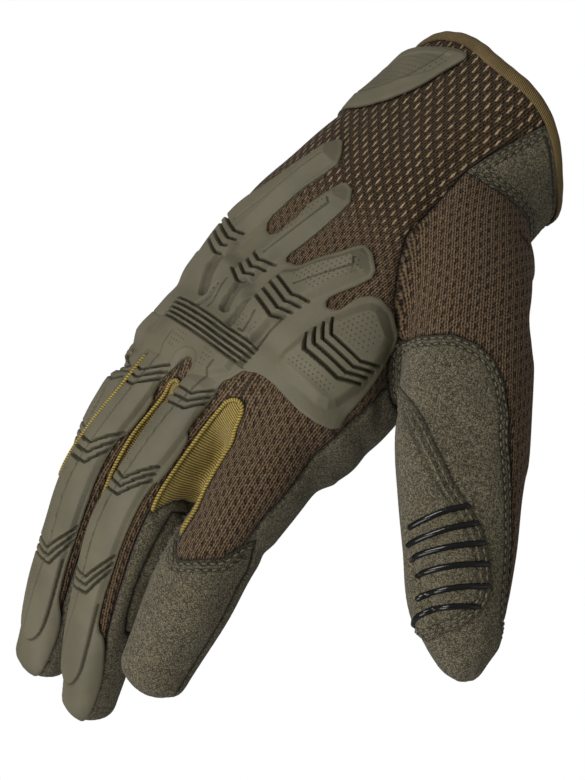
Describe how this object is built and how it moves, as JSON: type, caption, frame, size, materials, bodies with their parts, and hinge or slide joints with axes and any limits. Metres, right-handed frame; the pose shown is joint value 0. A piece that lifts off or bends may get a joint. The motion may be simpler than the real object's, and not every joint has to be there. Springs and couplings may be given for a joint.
{
  "type": "tactical glove",
  "caption": "Full-finger right-hand work glove of knit mesh and suede with a moulded rubber knuckle guard and a wrist strap.",
  "frame": {"origin": "middle of the cuff opening, where the hand goes in", "axes": "+Z out of the cuff along the forearm, +X to the thumb side, -Y the back of the hand"},
  "size_m": [0.1609, 0.087, 0.228],
  "materials": {
    "knit_mesh": "open knit, matt",
    "suede": "synthetic suede, napped",
    "twill": "fine twill, matt",
    "tape": "woven binding tape",
    "strap_cloth": "brushed loop cloth",
    "moulded_rubber": "matt moulded rubber",
    "silicone": "glossy printed silicone"
  },
  "bodies": {
    "root": {"back_mesh": "knit_mesh", "palm_suede": "suede", "wrist_gusset": "suede", "index_cap": "suede", "fourchette_index": "twill", "fourchette_middle": "twill", "fourchette_ring": "twill", "thumb_mesh": "knit_mesh", "thumb_suede": "suede", "thumb_pad": "suede", "thumb_grip_1": "silicone", "thumb_grip_2": "silicone", "thumb_grip_3": "silicone", "thumb_grip_4": "silicone", "thumb_grip_5": "silicone", "thumb_grip_6": "silicone", "cuff_binding": "tape", "knuckle_guard": "moulded_rubber", "finger_guard_middle": "moulded_rubber", "finger_guard_ring": "moulded_rubber", "finger_guard_pinky": "moulded_rubber", "wrist_strap": "strap_cloth", "strap_tab": "moulded_rubber"}
  },
  "joints": []
}
